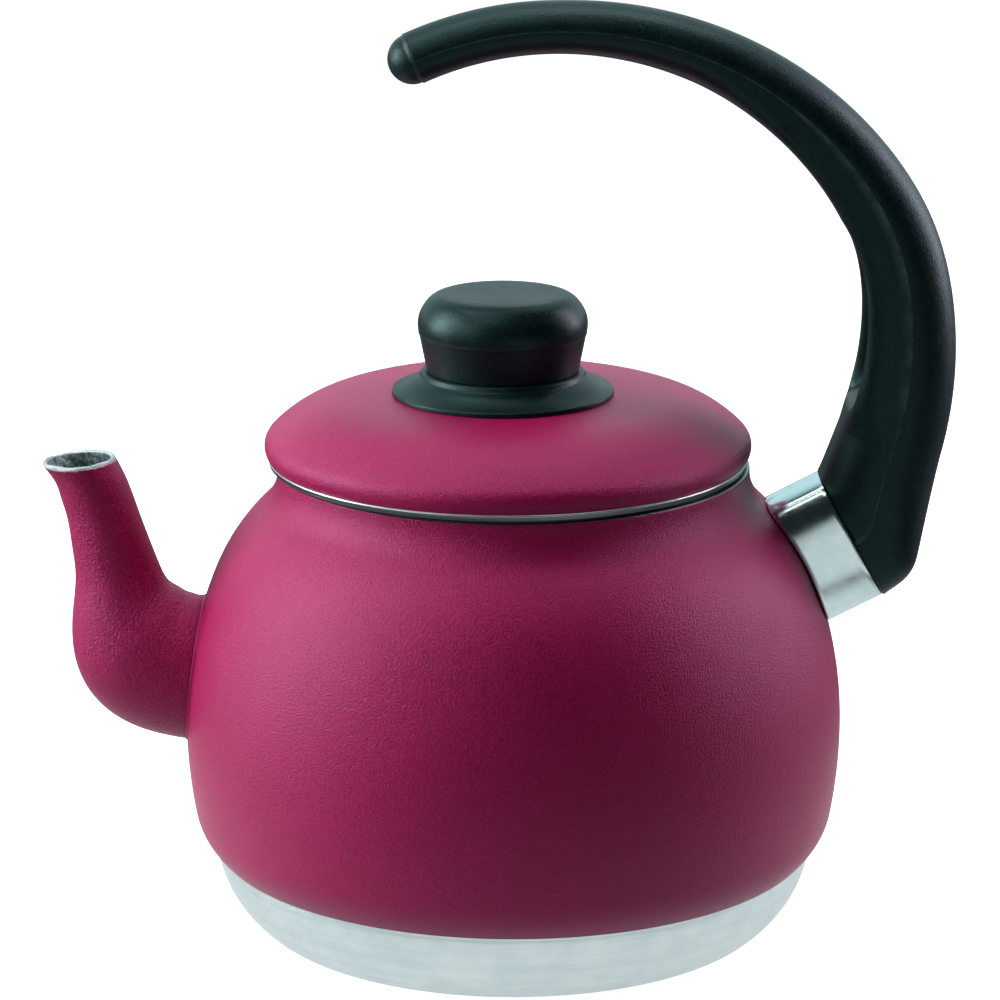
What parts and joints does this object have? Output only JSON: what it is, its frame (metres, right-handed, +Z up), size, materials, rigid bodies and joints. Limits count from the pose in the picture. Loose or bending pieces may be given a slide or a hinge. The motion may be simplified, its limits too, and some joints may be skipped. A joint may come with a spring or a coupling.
{
  "type": "stovetop kettle",
  "caption": "Round-bellied stovetop kettle with a lift-off domed lid and knob, a curved spout open at its tip, and a C-shaped handle on a metal sleeve, open at its end.",
  "frame": {"origin": "centre of the flat base, on the surface it stands on", "axes": "+Z up along the vessel's axis; the spout points to -X and the handle stands on the +X side"},
  "size_m": [0.2476, 0.18, 0.2533],
  "materials": {
    "paint": "raspberry, matt, fine orange-peel texture",
    "bare_aluminium": "turned and polished",
    "black_plastic": "moulded, faintly grained",
    "steel": "plain",
    "brass": "plain"
  },
  "bodies": {
    "kettle": {"body_shell": "paint", "spout_collar": "bare_aluminium", "spout": "paint", "handle_ferrule": "bare_aluminium", "handle_bracket": "bare_aluminium", "bracket_rivets": "bare_aluminium", "handle_screw": "steel", "handle_washer": "steel", "handle_insert": "brass", "handle_grip": "black_plastic"},
    "lid": {"lid_shell": "paint", "lid_skirt": "bare_aluminium", "knob_flange": "black_plastic", "lid_knob": "black_plastic", "knob_insert": "brass", "knob_screw": "steel", "knob_washer": "steel"}
  },
  "joints": [
    {"name": "lid_lift", "type": "slide", "parent": "kettle", "child": "lid", "axis": [0, 0, 1], "range_m": [0, 0.05]}
  ]
}
